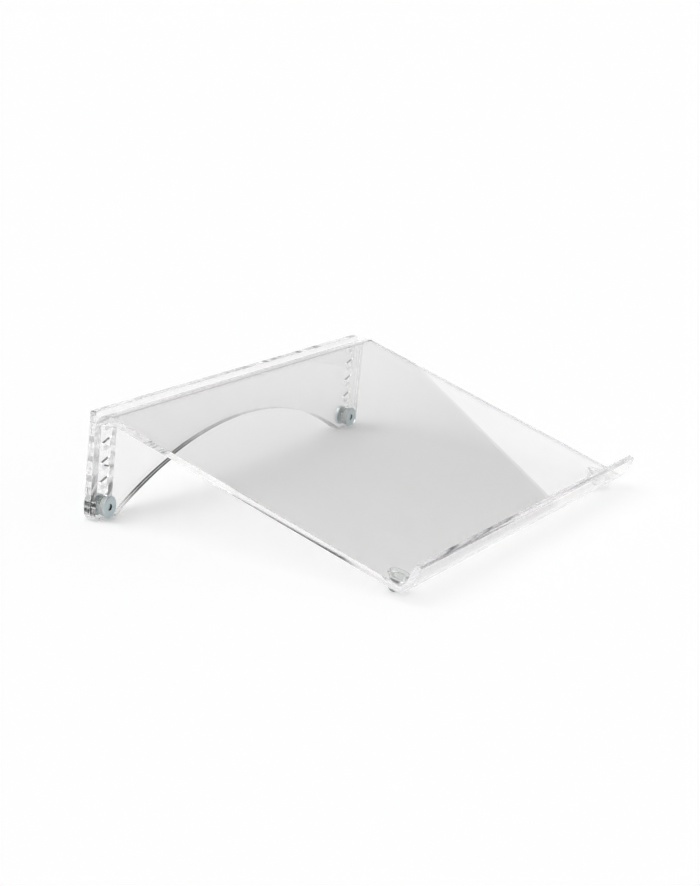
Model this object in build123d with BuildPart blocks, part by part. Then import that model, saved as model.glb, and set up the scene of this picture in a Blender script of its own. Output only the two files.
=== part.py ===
from build123d import *
import math
import os

os.makedirs("parts", exist_ok=True)

# A sloping clear acrylic document holder. One bent sheet makes the reading board, the front lip and
# the rear panel. A flat height plate stands behind the rear panel and hangs on two flat-headed
# screws: five hooked pockets on each side of the plate give five heights. Two soft clear bumpers
# stand under the front corners.
# +X is to the reader's right, +Y is to the rear and +Z is up. The desk is at Z = 0.

# ---- Driving dimensions, in millimetres and degrees ----

sheet = 5.0                  # thickness of the acrylic sheet, board and height plate alike
board_width = 415.0          # across the desk
slope_angle = 16.0           # of the reading face above the desk, at the lowest height
slope_length = 275.0         # reading face, from the rear bend's corner to the lip's corner
lip_height = 20.0            # of the lip's inner face above the reading face
lip_lean = 8.0               # of the lip past square, away from the reader's sheet
bend_radius = 5.5            # inner radius of both heat bends
foot_corner_radius = 8.0     # outer bottom corners of the rear panel and the height plate
lip_corner_radius = 2.0      # top corners of the lip

foot_width = 28.5            # of the rear panel and the height plate, at the desk, beside the arch
arch_height = 45.0           # of the cut-out between the feet
arch_corner_radius = 1.5     # where the arch runs out at a foot

bumper_diameter = 18.4       # at the face that sticks to the board
bumper_height = 11.0
bumper_rim = 1.0             # straight edge next to the board
dome_diameter = 13.0         # of the round end that stands on the desk
bumper_side_inset = 20.0     # bumper axis from the board's side edge
bumper_lip_inset = 12.6      # bumper axis from the lip's corner, along the slope

pin_diameter = 5.0           # screw shank, which the pockets hook onto
pin_height = 11.1            # screw axis above the desk
left_pin_inset = 11.7        # screw axis from the left edge of the board
right_pin_inset = 20.3       # screw axis from the right edge, which leaves room for the channel
panel_hole_clearance = 0.2   # radial, screw in the rear panel
slot_clearance = 0.3         # between a screw and the end and the lower wall of its pocket
pocket_headroom = 0.9        # more above the screw, so that the plate comes off easily
pocket_corner_radius = 1.3
thread_clearance = 0.05      # radial, screw in its nut

plate_top_bar = 6.2          # height plate above its channels
plate_corner_radius = 2.0    # top corners of the height plate
plate_gap = 0.3              # between the rear panel and the height plate, and plate and nut
height_count = 5             # heights that the board can be set to
height_step = 15.3           # from one height to the next
hook_angle = 18.0            # of each pocket above the level
channel_offset = 10.0        # channel axis from the pocket seats
channel_width = 6.0
channel_overrun = 2.0        # channel below its lowest pocket
channel_corner_radius = 2.0

head_diameter = 17.0         # screw head and nut alike
head_thickness = 1.5
nut_thickness = 3.0
head_chamfer = 0.3
socket_across_flats = 5.0    # hexagon socket in the screw head
socket_depth = 1.1
washer_diameter = 15.0
washer_thickness = 3.7
washer_bore_clearance = 0.25  # radial
screw_tip_recess = 0.4       # screw end below the nut's outer face
screw_tip_chamfer = 0.5

# ---- Places worked out from the driving dimensions ----

half_width = board_width / 2
slope = math.radians(slope_angle)
lean = math.radians(lip_lean)
hook = math.radians(hook_angle)

# Directions in the side view, as (y, z): down the slope, square up from the reading face, up along
# the lip's inner face, and square out of the lip's outer face.
down_slope = Vector(-math.cos(slope), -math.sin(slope))
face_up = Vector(-math.sin(slope), math.cos(slope))
up_lip = face_up * math.cos(lean) + down_slope * math.sin(lean)
out_of_lip = down_slope * math.cos(lean) - face_up * math.sin(lean)

# The board stands so high that the round ends of the bumpers just meet the desk.
dome_radius = dome_diameter / 2
dome_depth = bumper_height - dome_radius
underside_z = dome_radius + dome_depth * math.cos(slope)
lip_corner_z = underside_z - bumper_lip_inset * math.sin(slope) + sheet * math.cos(slope)

# The origin is midway between the front of the lip and the back of the nuts.
front_reach = (down_slope * slope_length + up_lip * lip_height + out_of_lip * sheet).X
rear_reach = 2 * plate_gap + sheet + nut_thickness
panel_rear_y = -(front_reach + rear_reach) / 2
panel_front_y = panel_rear_y - sheet

lip_corner = Vector(panel_rear_y - slope_length * math.cos(slope), lip_corner_z)
rear_corner = lip_corner - down_slope * slope_length
lip_tip = lip_corner + up_lip * lip_height

plate_front_y = panel_rear_y + plate_gap
plate_rear_y = plate_front_y + sheet

pin_r = pin_diameter / 2
under_pin = pin_r + slot_clearance
pocket_width = 2 * under_pin + pocket_headroom
pin_places = {"left": -half_width + left_pin_inset, "right": half_width - right_pin_inset}

arch_half_width = half_width - foot_width
arch_radius = (arch_half_width**2 + arch_height**2) / (2 * arch_height)
arch_centre_z = arch_height - arch_radius

hook_rise = channel_offset * math.tan(hook)
hook_length = channel_offset / math.cos(hook)
pocket_length = under_pin + hook_length
pocket_centre = Vector(pocket_length / 2 - under_pin, pocket_headroom / 2).rotate(
    Axis.Z, hook_angle
)
highest_pin_z = pin_height + (height_count - 1) * height_step
channel_low_z = pin_height + hook_rise - under_pin - channel_overrun
channel_high_z = highest_pin_z + hook_rise + under_pin + pocket_headroom
plate_height = channel_high_z + plate_top_bar

across_sheet = 2 * sheet     # a cut this deep, centred on a face, clears the sheet


def upright(y):
    """A plane facing the reader at depth y, whose sketch X is +X and whose sketch Y is +Z."""
    return Plane.XZ.offset(-y)


# ---- Reading board: lip, slope and rear panel bent from one sheet ----

with BuildPart() as board:
    with BuildSketch(Plane.YZ):
        with BuildLine():
            FilletPolyline(
                (lip_tip.X, lip_tip.Y),
                (lip_corner.X, lip_corner.Y),
                (rear_corner.X, rear_corner.Y),
                (panel_rear_y, 0),
                radius=[bend_radius, bend_radius + sheet],
            )
            offset(amount=sheet, side=Side.RIGHT)
        make_face()
    extrude(amount=half_width, both=True)
    with BuildSketch(upright(panel_front_y)):
        with Locations((0, arch_centre_z)):
            Circle(arch_radius)
    extrude(amount=across_sheet, both=True, mode=Mode.SUBTRACT)
    lip_ends = board.edges().filter_by(Axis((0, 0, 0), (0, out_of_lip.X, out_of_lip.Y)))
    fillet(lip_ends, lip_corner_radius)
    foot_ends = board.edges().filter_by(Axis.Y).group_by(Axis.Z)[0].sort_by(Axis.X)
    fillet([foot_ends[0], foot_ends[-1]], foot_corner_radius)
    arch_ends = board.edges().filter_by(Axis.Y).filter_by_position(
        Axis.X, -arch_half_width - 1, arch_half_width + 1
    ).group_by(Axis.Z)[0]
    fillet(arch_ends, arch_corner_radius)
    with BuildSketch(upright(panel_front_y)):
        for pin_x in pin_places.values():
            with Locations((pin_x, pin_height)):
                Circle(pin_r + panel_hole_clearance)
    extrude(amount=across_sheet, both=True, mode=Mode.SUBTRACT)

board.part.label = "board"
export_step(board.part, "parts/board.step")

# ---- Height plate: flat sheet with five hooked pockets and a channel on each side ----

with BuildPart() as height_plate:
    with BuildSketch(upright(plate_front_y)) as plate_face:
        with Locations((0, plate_height / 2)):
            Rectangle(board_width, plate_height)
        with Locations((0, arch_centre_z)):
            Circle(arch_radius, mode=Mode.SUBTRACT)
        top_corners = plate_face.vertices().group_by(Axis.Y)[-1]
        fillet(top_corners, plate_corner_radius)
        bottom_corners = plate_face.vertices().group_by(Axis.Y)[0].sort_by(Axis.X)
        fillet([bottom_corners[0], bottom_corners[-1]], foot_corner_radius)
        fillet([bottom_corners[1], bottom_corners[-2]], arch_corner_radius)
    extrude(amount=-sheet)
    with BuildSketch(upright(plate_front_y)):
        for pin_x in pin_places.values():
            with Locations((pin_x + channel_offset, (channel_low_z + channel_high_z) / 2)):
                RectangleRounded(
                    channel_width, channel_high_z - channel_low_z, channel_corner_radius
                )
            for step in range(height_count):
                seat_z = pin_height + step * height_step
                with Locations((pin_x + pocket_centre.X, seat_z + pocket_centre.Y)):
                    RectangleRounded(
                        pocket_length, pocket_width, pocket_corner_radius, rotation=hook_angle
                    )
    extrude(amount=across_sheet, both=True, mode=Mode.SUBTRACT)

height_plate.part.label = "height_plate"
export_step(height_plate.part, "parts/height_plate.step")

# ---- Fasteners: on each side a screw, a washer against the panel and a flat round nut ----

head_inner_y = panel_front_y - washer_thickness
head_outer_y = head_inner_y - head_thickness
nut_inner_y = plate_rear_y + plate_gap
nut_outer_y = nut_inner_y + nut_thickness

for side, pin_x in pin_places.items():
    with BuildPart() as screw:
        with BuildSketch(upright(head_outer_y)):
            with Locations((pin_x, pin_height)):
                Circle(head_diameter / 2)
        extrude(amount=-head_thickness)
        chamfer(screw.edges().filter_by(GeomType.CIRCLE), head_chamfer)
        with BuildSketch(upright(head_inner_y)):
            with Locations((pin_x, pin_height)):
                Circle(pin_r)
        extrude(amount=-(nut_outer_y - screw_tip_recess - head_inner_y))
        chamfer(screw.edges().group_by(Axis.Y)[-1], screw_tip_chamfer)
        with BuildSketch(upright(head_outer_y)):
            with Locations((pin_x, pin_height)):
                RegularPolygon(socket_across_flats / 2, 6, major_radius=False)
        extrude(amount=-socket_depth, mode=Mode.SUBTRACT)

    screw.part.label = side + "_screw"
    export_step(screw.part, "parts/" + side + "_screw.step")

    with BuildPart() as washer:
        with BuildSketch(upright(head_inner_y)):
            with Locations((pin_x, pin_height)):
                Circle(washer_diameter / 2)
                Circle(pin_r + washer_bore_clearance, mode=Mode.SUBTRACT)
        extrude(amount=-washer_thickness)

    washer.part.label = side + "_washer"
    export_step(washer.part, "parts/" + side + "_washer.step")

    with BuildPart() as nut:
        with BuildSketch(upright(nut_inner_y)):
            with Locations((pin_x, pin_height)):
                Circle(head_diameter / 2)
                Circle(pin_r + thread_clearance, mode=Mode.SUBTRACT)
        extrude(amount=-nut_thickness)
        outer_rims = nut.edges().filter_by(GeomType.CIRCLE).group_by(SortBy.RADIUS)[-1]
        chamfer(outer_rims, head_chamfer)

    nut.part.label = side + "_nut"
    export_step(nut.part, "parts/" + side + "_nut.step")

# ---- Front bumpers: soft domed pads stuck square to the board's underside ----

underside = lip_corner - down_slope * bumper_lip_inset - face_up * sheet

for side, bumper_x in {
    "left": -half_width + bumper_side_inset,
    "right": half_width - bumper_side_inset,
}.items():
    # Local X runs out from the bumper's axis along the board, and local Y runs down the axis.
    profile_plane = Plane(
        origin=(bumper_x, underside.X, underside.Y),
        x_dir=(1, 0, 0),
        z_dir=(0, -down_slope.X, -down_slope.Y),
    )
    with BuildPart() as bumper:
        with BuildSketch(profile_plane) as pad:
            with BuildLine():
                Polyline(
                    (0, bumper_height),
                    (0, 0),
                    (bumper_diameter / 2, 0),
                    (bumper_diameter / 2, bumper_rim),
                    (dome_radius, dome_depth),
                )
                CenterArc((0, dome_depth), dome_radius, 0, 90)
            make_face()
        axis_of_pad = Axis(
            (bumper_x, underside.X, underside.Y), (0, -face_up.X, -face_up.Y)
        )
        revolve(axis=axis_of_pad)

    bumper.part.label = side + "_bumper"
    export_step(bumper.part, "parts/" + side + "_bumper.step")
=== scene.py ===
"""Looks of a sloping clear acrylic document holder: its materials, and a plain white studio round it."""

import math

import bpy
import numpy as np
from bpy.props import FloatProperty, FloatVectorProperty, PointerProperty
from bpy.types import Operator, Panel, PropertyGroup
from mathutils import Matrix, Vector

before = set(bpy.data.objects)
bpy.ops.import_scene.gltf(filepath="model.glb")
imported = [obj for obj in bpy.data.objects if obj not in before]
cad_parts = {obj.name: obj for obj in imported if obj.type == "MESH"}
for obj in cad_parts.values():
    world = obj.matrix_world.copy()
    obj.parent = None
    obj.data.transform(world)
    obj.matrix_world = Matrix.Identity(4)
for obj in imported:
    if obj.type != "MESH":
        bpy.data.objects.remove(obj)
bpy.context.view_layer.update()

bl_info = {
    "name": "Document Holder Looks",
    "version": (1, 0, 0),
    "blender": (4, 5, 0),
    "location": "3D View > Sidebar > Holder",
    "description": "Acrylic, zinc and bumper finishes and a white studio for a sloping document holder",
    "category": "Object",
}

SHEETS = ("board", "height_plate")
SIDES = ("left", "right")

# ---- Camera, in the part's frame: metres, degrees and pixels ----

IMAGE_WIDTH = 700
IMAGE_HEIGHT = 886
SENSOR_WIDTH = 36.0
CAMERA_PLACE = (-1.48485, -0.72347, 0.47962)
CAMERA_AZIMUTH = -63.1903
CAMERA_ELEVATION = 14.6366
CAMERA_ROLL = 5.6515
CAMERA_FOCAL_PIXELS = 2126.07
CAMERA_CLIP_START = 0.05

# ---- Acrylic, in metres ----

# The cut ends of the sheets face right, left, up, and forward and up along the lip: azimuths and
# elevations. They count as edges to this depth.
CUT_FACINGS = ((0.0, 0.0), (180.0, 0.0), (0.0, 90.0), (-90.0, 66.0))
EDGE_DEPTH = 0.0002

# The sheets' sharp corners shade as if they were rounded to this radius.
CORNER_RADIUS = 0.0004
CORNER_SAMPLES = 4

# Light runs the length of a clear sheet by bouncing between its faces, which takes this many bounces.
LIGHT_BOUNCES = 200

# Polishing waves to the metre, and the share of a lamp's light that each face of a sheet lets through.
POLISHING_WAVES = 9.0
SHEET_SHADE = 0.80

# Octaves in the soft random patterns: the polishing waves, and the gloss of the plastics.
SOFT_DETAIL = 2.0

# ---- Zinc: the plated screws and nuts, in metres ----

PLATING_METALLIC = 0.6
PLATING_ROUGHNESS = (0.28, 0.45)
TURNING_MARK_DEPTH = 0.00003
TURNING_MARK_DETAIL = 4.0

# The hexagon recess of a screw: how far its corners reach, the width of the ring of painted shade on its
# walls and round its floor, and the depth that this painted shade starts at.
SOCKET_REACH = 0.0030
SOCKET_SHADE_RING = 0.0011
SOCKET_START = 0.0002
# The dark colour painted in the recess as shade.
SOCKET_PAINTED_SHADE = (0.05, 0.055, 0.06, 1.0)

# ---- Nylon washers and soft bumpers ----

NYLON = {"tint": (0.88, 0.92, 0.89), "roughness": 0.25, "ior": 1.53, "clearness": 0.35}
SOFT_PLASTIC = {"tint": (0.90, 0.92, 0.91), "roughness": 0.05, "ior": 1.50, "clearness": 1.0}

# Spots of gloss to the metre, how far they stray from the mean as a share of it, and the share of a
# lamp's light that each face lets through.
PLASTIC_SPOTS = 400.0
PLASTIC_UNEVENNESS = 0.4
PLASTIC_SHADE = 0.8

# ---- Studio: levels are shares of white, and heights in the world are sines of an elevation ----

FLOOR_COLOUR = (0.9, 0.9, 0.9, 1.0)
FLOOR_LIFT = 0.22
FILL_LIGHT = 0.40
LAMP_DIRECTION = (145.0, 58.0)
STUDIO_DARK = 0.024
STUDIO_BRIGHT = 0.80

# Three bright parts show in reflections and through the sheets: a pale backdrop that ends at a height
# and lies behind a straight edge through two directions, a ceiling, and a sweep that ends at a height.
BACKDROP_EDGE = ((12.6, 24.0), (16.2, 27.4))
BACKDROP_FADE = (-0.02, 0.05)
BACKDROP_TOP = 0.62
BACKDROP_LEVEL = 0.70
CEILING_START = 0.77
CEILING_FADE = 0.06
SWEEP_TOP = 0.33
SWEEP_FADE = 0.12

# The fill card stands upright on the desk, and its top edge slopes.
CARD_FACING = (0.977, -0.2135)
CARD_DISTANCE = 0.4
CARD_HALF_WIDTH = 0.7
CARD_HEIGHT = 0.1575
CARD_TILT = -0.081
CARD_LEVEL = 0.86
CARD_COLOUR = (0.99, 0.98, 1.0, 1.0)

WHITE = (1.0, 1.0, 1.0, 1.0)


# ---- Settings that a user would change ----


class SheetSettings(PropertyGroup):
    """The clear acrylic of the board and the height plate."""

    tint: FloatVectorProperty(
        name="Tint",
        description="Colour that the clear sheet gives to light passing through it",
        subtype="COLOR",
        size=3,
        min=0.0,
        max=1.0,
        default=(0.963, 0.96, 0.961),
    )
    ior: FloatProperty(
        name="Refractive index",
        description="How strongly the sheet bends light",
        min=1.0,
        max=2.0,
        default=1.49,
    )
    edge_roughness: FloatProperty(
        name="Edge roughness",
        description="How matt the cut edges are; the faces of the sheet are clear",
        min=0.0,
        max=1.0,
        default=0.07,
    )
    scuff: FloatProperty(
        name="Scuff depth",
        description="Height of the faint waves left in the sheet's faces by handling and polishing",
        subtype="DISTANCE",
        unit="LENGTH",
        min=0.0,
        max=0.001,
        precision=6,
        default=0.000004,
    )


class FastenerSettings(PropertyGroup):
    """The zinc plating of the screws and nuts."""

    zinc: FloatVectorProperty(
        name="Zinc colour",
        description="Colour of the plated screw heads",
        subtype="COLOR",
        size=3,
        min=0.0,
        max=1.0,
        default=(0.58, 0.67, 0.69),
    )
    # Painted light: the nuts' zinc is brighter than the screw heads' zinc to make up for the shade that the
    # nuts sit in behind the sheets.
    brightened_nut_zinc: FloatVectorProperty(
        name="Nut colour",
        description="Colour of the plated nuts, which are brighter than the screw heads",
        subtype="COLOR",
        size=3,
        min=0.0,
        max=1.0,
        default=(0.80, 0.91, 0.92),
    )
    grain: FloatProperty(
        name="Grain size",
        description="Spacing of the turning marks on the plated faces",
        subtype="DISTANCE",
        unit="LENGTH",
        min=0.00005,
        max=0.005,
        precision=5,
        default=0.0006,
    )


class StudioSettings(PropertyGroup):
    """The white floor and the lamp."""

    floor_size: FloatProperty(
        name="Floor size",
        description="Side of the square white floor",
        subtype="DISTANCE",
        unit="LENGTH",
        min=1.0,
        max=50.0,
        default=60.0,
    )
    lamp_strength: FloatProperty(
        name="Lamp strength",
        description="Light that the wide overhead lamp gives, in watts per square metre",
        min=0.0,
        max=10.0,
        default=1.7,
    )
    lamp_angle: FloatProperty(
        name="Lamp angle",
        description="Width of the overhead lamp as seen from the holder; wider makes softer shadows",
        subtype="ANGLE",
        unit="ROTATION",
        min=0.0,
        max=math.radians(170.0),
        default=math.radians(60.0),
    )


# ---- Node helpers ----


def new_material(name):
    """An empty node material, its tree's node maker, its linker and its output node."""
    material = bpy.data.materials.new(name)
    material.use_nodes = True
    nodes, links = material.node_tree.nodes, material.node_tree.links
    nodes.clear()
    output = nodes.new("ShaderNodeOutputMaterial")
    return material, nodes, links, output


def dress(node_name, material):
    """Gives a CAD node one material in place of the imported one."""
    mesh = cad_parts[node_name].data
    mesh.materials.clear()
    mesh.materials.append(material)


def combine(nodes, links, operation, first, second):
    """A socket that combines a socket with another socket or a number."""
    node = nodes.new("ShaderNodeMath")
    node.operation = operation
    links.new(first, node.inputs[0])
    if isinstance(second, bpy.types.NodeSocket):
        links.new(second, node.inputs[1])
    else:
        node.inputs[1].default_value = second
    return node.outputs[0]


def combine_vector(nodes, links, operation, vector, fixed):
    """A vector node that combines a vector socket with a fixed vector."""
    node = nodes.new("ShaderNodeVectorMath")
    node.operation = operation
    links.new(vector, node.inputs[0])
    node.inputs[1].default_value = fixed
    return node


def between(nodes, links, share, low, high):
    """A socket that goes from low to high as a share goes from 0 to 1, and no further."""
    ramp = nodes.new("ShaderNodeMapRange")
    ramp.inputs["To Min"].default_value = low
    ramp.inputs["To Max"].default_value = high
    links.new(share, ramp.inputs["Value"])
    return ramp.outputs["Result"]


def soft_step(nodes, links, vector, toward, start, end):
    """A socket that rises from 0 to 1 as the dot product of `vector` and `toward` goes from start to end."""
    ramp = nodes.new("ShaderNodeMapRange")
    ramp.interpolation_type = "SMOOTHSTEP"
    ramp.inputs["From Min"].default_value = start
    ramp.inputs["From Max"].default_value = end
    dot = combine_vector(nodes, links, "DOT_PRODUCT", vector, toward)
    links.new(dot.outputs["Value"], ramp.inputs["Value"])
    return ramp.outputs["Result"]


def random_spots(nodes, links, place, per_metre, detail):
    """A socket of soft random spots of about so many to the metre."""
    spots = nodes.new("ShaderNodeTexNoise")
    spots.inputs["Scale"].default_value = per_metre
    spots.inputs["Detail"].default_value = detail
    links.new(place, spots.inputs["Vector"])
    return spots.outputs["Fac"]


def let_lamps_through(nodes, links, clear, share, output):
    """Shows a clear shader, and lets a share of the lamps' light straight through its surface."""
    passing = nodes.new("ShaderNodeBsdfTransparent")
    passing.inputs["Color"].default_value = (share, share, share, 1.0)
    path = nodes.new("ShaderNodeLightPath")
    mix = nodes.new("ShaderNodeMixShader")
    links.new(path.outputs["Is Shadow Ray"], mix.inputs["Fac"])
    links.new(clear.outputs["BSDF"], mix.inputs[1])
    links.new(passing.outputs["BSDF"], mix.inputs[2])
    links.new(mix.outputs["Shader"], output.inputs["Surface"])


def direction(azimuth, elevation):
    """Unit vector at an azimuth from +X towards +Y and an elevation above the level, in degrees."""
    a, e = math.radians(azimuth), math.radians(elevation)
    return Vector((math.cos(e) * math.cos(a), math.cos(e) * math.sin(a), math.sin(e)))


# ---- Materials ----


def acrylic_material(settings):
    """Clear sheet with slightly rounded corners, faintly matt cut edges and faint polishing waves."""
    material, nodes, links, output = new_material("clear_acrylic")
    place = nodes.new("ShaderNodeTexCoord").outputs["Object"]
    rounded = nodes.new("ShaderNodeBevel")
    rounded.samples = CORNER_SAMPLES
    rounded.inputs["Radius"].default_value = CORNER_RADIUS
    bump = nodes.new("ShaderNodeBump")
    bump.inputs["Distance"].default_value = settings.scuff
    links.new(rounded.outputs["Normal"], bump.inputs["Normal"])
    waves = random_spots(nodes, links, place, POLISHING_WAVES, SOFT_DETAIL)
    links.new(waves, bump.inputs["Height"])
    clear = nodes.new("ShaderNodeBsdfPrincipled")
    clear.inputs["Base Color"].default_value = (*settings.tint, 1.0)
    clear.inputs["Transmission Weight"].default_value = 1.0
    clear.inputs["IOR"].default_value = settings.ior
    links.new(cut_edges(nodes, links, place, settings), clear.inputs["Roughness"])
    links.new(bump.outputs["Normal"], clear.inputs["Normal"])
    let_lamps_through(nodes, links, clear, SHEET_SHADE, output)
    return material


def cut_edges(nodes, links, place, settings):
    """A socket that is the edges' roughness on the cut ends of the sheets, and 0 elsewhere."""
    points = np.array(
        [tuple(point.co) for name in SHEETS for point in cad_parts[name].data.vertices]
    )
    steps = []
    for facing in CUT_FACINGS:
        way = direction(*facing)
        reach = (points @ np.array(way)).max()
        steps.append(soft_step(nodes, links, place, way, reach - EDGE_DEPTH, reach))
    on_edge = steps[0]
    for step in steps[1:]:
        on_edge = combine(nodes, links, "MAXIMUM", on_edge, step)
    return between(nodes, links, on_edge, 0.0, settings.edge_roughness)


def zinc_material(settings, name, plating, screw=None):
    """Plated steel with fine turning marks and, for a named screw, painted shade as a dark ring in its
    recess.
    """
    material, nodes, links, output = new_material(name)
    place = nodes.new("ShaderNodeTexCoord").outputs["Object"]
    marks = random_spots(nodes, links, place, 1.0 / settings.grain, TURNING_MARK_DETAIL)
    bump = nodes.new("ShaderNodeBump")
    bump.inputs["Distance"].default_value = TURNING_MARK_DEPTH
    links.new(marks, bump.inputs["Height"])
    metal = nodes.new("ShaderNodeBsdfPrincipled")
    metal.inputs["Base Color"].default_value = (*plating, 1.0)
    metal.inputs["Metallic"].default_value = PLATING_METALLIC
    # Painted shade: the recess walls and the ring round its floor take a dark colour in place of the zinc.
    if screw:
        colour = nodes.new("ShaderNodeMix")
        colour.data_type = "RGBA"
        colour.inputs["A"].default_value = (*plating, 1.0)
        colour.inputs["B"].default_value = SOCKET_PAINTED_SHADE
        links.new(painted_recess_shade(nodes, links, place, screw), colour.inputs["Factor"])
        links.new(colour.outputs["Result"], metal.inputs["Base Color"])
    links.new(between(nodes, links, marks, *PLATING_ROUGHNESS), metal.inputs["Roughness"])
    links.new(bump.outputs["Normal"], metal.inputs["Normal"])
    links.new(metal.outputs["BSDF"], output.inputs["Surface"])
    return material


def painted_recess_shade(nodes, links, place, screw):
    """A socket that is 1 where shade is painted, on the walls of the recess in a screw's head and round its
    floor, else 0.
    """
    corners = np.array([tuple(corner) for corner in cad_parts[screw].bound_box])
    middle = (corners.min(axis=0) + corners.max(axis=0)) / 2
    front = corners[:, 1].min()
    from_axis = combine_vector(nodes, links, "SUBTRACT", place, (middle[0], 0.0, middle[2]))
    across = combine_vector(nodes, links, "MULTIPLY", from_axis.outputs["Vector"], (1.0, 0.0, 1.0))
    radius = nodes.new("ShaderNodeVectorMath")
    radius.operation = "LENGTH"
    links.new(across.outputs["Vector"], radius.inputs[0])
    ring = nodes.new("ShaderNodeMath")
    ring.operation = "COMPARE"
    ring.inputs[1].default_value = SOCKET_REACH - SOCKET_SHADE_RING / 2
    ring.inputs[2].default_value = SOCKET_SHADE_RING / 2
    links.new(radius.outputs["Value"], ring.inputs[0])
    parts = nodes.new("ShaderNodeSeparateXYZ")
    links.new(place, parts.inputs["Vector"])
    deep = combine(nodes, links, "GREATER_THAN", parts.outputs["Y"], front + SOCKET_START)
    return combine(nodes, links, "MULTIPLY", ring.outputs[0], deep)


def clear_plastic_material(name, tint, roughness, ior, clearness):
    """A clear soft or moulded plastic with slight unevenness in its gloss."""
    material, nodes, links, output = new_material(name)
    place = nodes.new("ShaderNodeTexCoord").outputs["Object"]
    spots = random_spots(nodes, links, place, PLASTIC_SPOTS, SOFT_DETAIL)
    smoothest = roughness * (1.0 - PLASTIC_UNEVENNESS)
    roughest = roughness * (1.0 + PLASTIC_UNEVENNESS)
    clear = nodes.new("ShaderNodeBsdfPrincipled")
    clear.inputs["Base Color"].default_value = (*tint, 1.0)
    clear.inputs["Transmission Weight"].default_value = clearness
    clear.inputs["IOR"].default_value = ior
    links.new(between(nodes, links, spots, smoothest, roughest), clear.inputs["Roughness"])
    let_lamps_through(nodes, links, clear, PLASTIC_SHADE, output)
    return material


# ---- Operators: one for each group of pieces, and one for the studio ----


class HOLDER_OT_sheets(Operator):
    """Finish the board and the height plate as clear acrylic sheet"""

    bl_idname = "holder.sheets"
    bl_label = "Acrylic sheets"

    def execute(self, context):
        material = acrylic_material(context.scene.holder_sheet)
        for name in SHEETS:
            dress(name, material)
        return {"FINISHED"}


class HOLDER_OT_fasteners(Operator):
    """Finish the screws and nuts as zinc-plated steel and the washers as pale nylon"""

    bl_idname = "holder.fasteners"
    bl_label = "Fasteners"

    def execute(self, context):
        settings = context.scene.holder_fasteners
        # The nuts get the brightened zinc, which is painted light standing in for light they lack behind the
        # sheets.
        brightened_nut_zinc = zinc_material(settings, "brightened_zinc_nut", settings.brightened_nut_zinc)
        nylon = clear_plastic_material("nylon_washer", **NYLON)
        for side in SIDES:
            screw = side + "_screw"
            dress(screw, zinc_material(settings, "zinc_" + screw, settings.zinc, screw))
            dress(side + "_nut", brightened_nut_zinc)
            dress(side + "_washer", nylon)
        return {"FINISHED"}


class HOLDER_OT_bumpers(Operator):
    """Finish the front bumpers as clear soft plastic"""

    bl_idname = "holder.bumpers"
    bl_label = "Bumpers"

    def execute(self, context):
        soft = clear_plastic_material("clear_bumper", **SOFT_PLASTIC)
        for side in SIDES:
            dress(side + "_bumper", soft)
        return {"FINISHED"}


class HOLDER_OT_studio(Operator):
    """Add the white floor, the world, the fill card, the lamp and the camera"""

    bl_idname = "holder.studio"
    bl_label = "Studio"

    def execute(self, context):
        settings = context.scene.holder_studio
        add_floor(settings)
        add_world()
        add_card()
        add_lamp(settings)
        add_camera()
        context.scene.view_settings.view_transform = "Standard"
        for kind in ("max_bounces", "glossy_bounces", "transmission_bounces"):
            setattr(context.scene.cycles, kind, LIGHT_BOUNCES)
        return {"FINISHED"}


# ---- Studio ----


def flat_face(name, corners, material):
    """An object that is one face through four corners, with one material."""
    mesh = bpy.data.meshes.new(name)
    mesh.from_pydata([tuple(corner) for corner in corners], [], [(0, 1, 2, 3)])
    mesh.materials.append(material)
    face = bpy.data.objects.new(name, mesh)
    bpy.context.scene.collection.objects.link(face)
    return face


def add_floor(settings):
    """A flat square floor whose material shows white and still holds shadows."""
    material, nodes, links, output = new_material("studio_floor")
    paper = nodes.new("ShaderNodeBsdfDiffuse")
    paper.inputs["Color"].default_value = FLOOR_COLOUR
    glow = nodes.new("ShaderNodeEmission")
    glow.inputs["Color"].default_value = WHITE
    links.new(seen_not_lighting(nodes, links, FLOOR_LIFT, 0.0), glow.inputs["Strength"])
    both = nodes.new("ShaderNodeAddShader")
    links.new(paper.outputs["BSDF"], both.inputs[0])
    links.new(glow.outputs["Emission"], both.inputs[1])
    links.new(both.outputs["Shader"], output.inputs["Surface"])
    half = settings.floor_size / 2
    corners = ((-half, -half, 0), (half, -half, 0), (half, half, 0), (-half, half, 0))
    floor = flat_face("floor", corners, material)


def seen_not_lighting(nodes, links, seen, lighting):
    """A socket that is `seen` for what the camera sees, mirrored or through clear sheet, else `lighting`."""
    path = nodes.new("ShaderNodeLightPath")
    looking = path.outputs["Is Camera Ray"]
    for kind in ("Is Glossy Ray", "Is Transmission Ray"):
        looking = combine(nodes, links, "MAXIMUM", looking, path.outputs[kind])
    looking = combine(nodes, links, "SUBTRACT", looking, path.outputs["Diffuse Depth"])
    return between(nodes, links, looking, lighting, seen)


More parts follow.
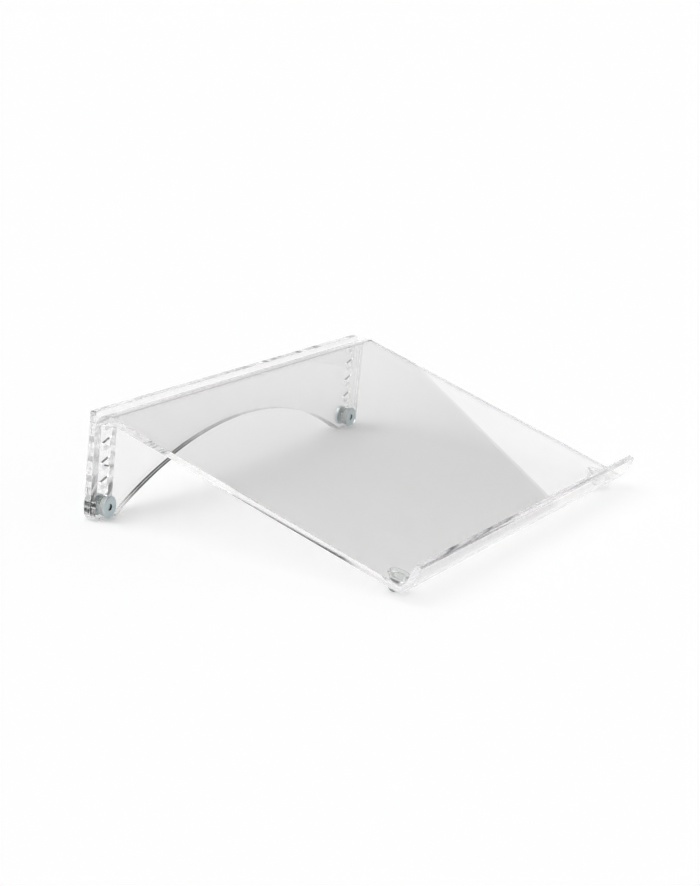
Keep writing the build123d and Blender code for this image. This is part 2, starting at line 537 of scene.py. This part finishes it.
def add_world():
    """White to the camera, even as a light, and a dark studio in reflections and through the sheets."""
    world = bpy.data.worlds.new("studio")
    bpy.context.scene.world = world
    world.use_nodes = True
    nodes, links = world.node_tree.nodes, world.node_tree.links
    nodes.clear()
    way = nodes.new("ShaderNodeTexCoord").outputs["Generated"]
    low, high = (direction(*point) for point in BACKDROP_EDGE)
    bright_side = low.cross(high).normalized()
    if bright_side.y < 0:
        bright_side.negate()
    beside = soft_step(nodes, links, way, bright_side, *BACKDROP_FADE)
    below = soft_step(nodes, links, way, (0, 0, -1), -BACKDROP_TOP, -BACKDROP_TOP + SWEEP_FADE)
    dimmed = combine(nodes, links, "MULTIPLY", below, BACKDROP_LEVEL)
    backdrop = combine(nodes, links, "MULTIPLY", beside, dimmed)
    sweep = soft_step(nodes, links, way, (0, 0, -1), -SWEEP_TOP, -SWEEP_TOP + SWEEP_FADE)
    ceiling = soft_step(nodes, links, way, (0, 0, 1), CEILING_START, CEILING_START + CEILING_FADE)
    bright = combine(nodes, links, "MAXIMUM", backdrop, sweep)
    bright = combine(nodes, links, "MAXIMUM", bright, ceiling)
    studio = between(nodes, links, bright, STUDIO_DARK, STUDIO_BRIGHT)
    level = nodes.new("ShaderNodeMix")
    level.inputs["A"].default_value = FILL_LIGHT
    links.new(seen_not_lighting(nodes, links, 1.0, 0.0), level.inputs["Factor"])
    links.new(studio, level.inputs["B"])
    path = nodes.new("ShaderNodeLightPath")
    camera_ray = path.outputs["Is Camera Ray"]
    shown = combine(nodes, links, "MAXIMUM", level.outputs["Result"], camera_ray)
    background = nodes.new("ShaderNodeBackground")
    background.inputs["Color"].default_value = WHITE
    links.new(shown, background.inputs["Strength"])
    output = nodes.new("ShaderNodeOutputWorld")
    links.new(background.outputs["Background"], output.inputs["Surface"])


def add_card():
    """A white card on the right that shows only in reflections. Its top edge slopes."""
    material, nodes, links, output = new_material("fill_card")
    glow = nodes.new("ShaderNodeEmission")
    glow.inputs["Color"].default_value = CARD_COLOUR
    glow.inputs["Strength"].default_value = CARD_LEVEL
    unseen = nodes.new("ShaderNodeBsdfTransparent")
    path = nodes.new("ShaderNodeLightPath")
    mirrored = nodes.new("ShaderNodeMixShader")
    links.new(path.outputs["Glossy Depth"], mirrored.inputs["Fac"])
    links.new(unseen.outputs["BSDF"], mirrored.inputs[1])
    links.new(glow.outputs["Emission"], mirrored.inputs[2])
    links.new(mirrored.outputs["Shader"], output.inputs["Surface"])
    across = Vector((CARD_FACING[1], -CARD_FACING[0], 0)).normalized()
    middle = Vector((*CARD_FACING, 0)).normalized() * CARD_DISTANCE
    corners = []
    for side, top in ((-1, 0), (1, 0), (1, 1), (-1, 1)):
        run = side * CARD_HALF_WIDTH
        height = top * (CARD_HEIGHT + CARD_TILT * run)
        corners.append(middle + across * run + Vector((0, 0, height)))
    card = flat_face("fill_card", corners, material)
    card.visible_camera = False
    card.visible_diffuse = False
    card.visible_shadow = False


def add_lamp(settings):
    """One very wide lamp from above, left and behind: shadows are soft and fall forward and right."""
    lamp = bpy.data.lights.new("overhead", "SUN")
    lamp.energy = settings.lamp_strength
    lamp.angle = settings.lamp_angle
    holder = bpy.data.objects.new("overhead", lamp)
    holder.rotation_euler = direction(*LAMP_DIRECTION).to_track_quat("Z", "Y").to_euler()
    bpy.context.scene.collection.objects.link(holder)


def add_camera():
    """The camera, with its azimuth from +Y towards -X, its elevation downwards, and its roll."""
    azimuth, elevation, roll = (
        math.radians(a) for a in (CAMERA_AZIMUTH, CAMERA_ELEVATION, CAMERA_ROLL)
    )
    ahead = Vector(
        (
            -math.sin(azimuth) * math.cos(elevation),
            math.cos(azimuth) * math.cos(elevation),
            -math.sin(elevation),
        )
    )
    level_right = ahead.cross(Vector((0, 0, 1))).normalized()
    level_up = level_right.cross(ahead)
    right = math.cos(roll) * level_right + math.sin(roll) * level_up
    up = -math.sin(roll) * level_right + math.cos(roll) * level_up
    camera_data = bpy.data.cameras.new("camera")
    camera_data.sensor_width = SENSOR_WIDTH
    camera_data.lens = CAMERA_FOCAL_PIXELS * SENSOR_WIDTH / max(IMAGE_WIDTH, IMAGE_HEIGHT)
    camera_data.clip_start = CAMERA_CLIP_START
    camera = bpy.data.objects.new("camera", camera_data)
    turn = Matrix((right, up, -ahead)).transposed()
    camera.matrix_world = Matrix.Translation(Vector(CAMERA_PLACE)) @ turn.to_4x4()
    bpy.context.scene.collection.objects.link(camera)
    bpy.context.scene.camera = camera


# ---- Panel and registration ----


class HOLDER_PT_looks(Panel):
    """Lists the holder's finishes and its studio"""

    bl_idname = "HOLDER_PT_looks"
    bl_label = "Document holder"
    bl_space_type = "VIEW_3D"
    bl_region_type = "UI"
    bl_category = "Holder"

    def draw(self, context):
        for settings, operator in PANEL_ROWS:
            box = self.layout.box()
            group = getattr(context.scene, settings, None)
            if group is not None:
                for name in group.__annotations__:
                    box.prop(group, name)
            box.operator(operator)


PANEL_ROWS = (
    ("holder_sheet", "holder.sheets"),
    ("holder_fasteners", "holder.fasteners"),
    ("", "holder.bumpers"),
    ("holder_studio", "holder.studio"),
)
SETTINGS = {
    "holder_sheet": SheetSettings,
    "holder_fasteners": FastenerSettings,
    "holder_studio": StudioSettings,
}
CLASSES = (
    SheetSettings,
    FastenerSettings,
    StudioSettings,
    HOLDER_OT_sheets,
    HOLDER_OT_fasteners,
    HOLDER_OT_bumpers,
    HOLDER_OT_studio,
    HOLDER_PT_looks,
)


def register():
    for cls in CLASSES:
        bpy.utils.register_class(cls)
    for name, group in SETTINGS.items():
        setattr(bpy.types.Scene, name, PointerProperty(type=group))


def unregister():
    for name in SETTINGS:
        delattr(bpy.types.Scene, name)
    for cls in reversed(CLASSES):
        bpy.utils.unregister_class(cls)


def main():
    register()
    bpy.ops.holder.sheets()
    bpy.ops.holder.fasteners()
    bpy.ops.holder.bumpers()
    bpy.ops.holder.studio()


if __name__ == "__main__":
    main()
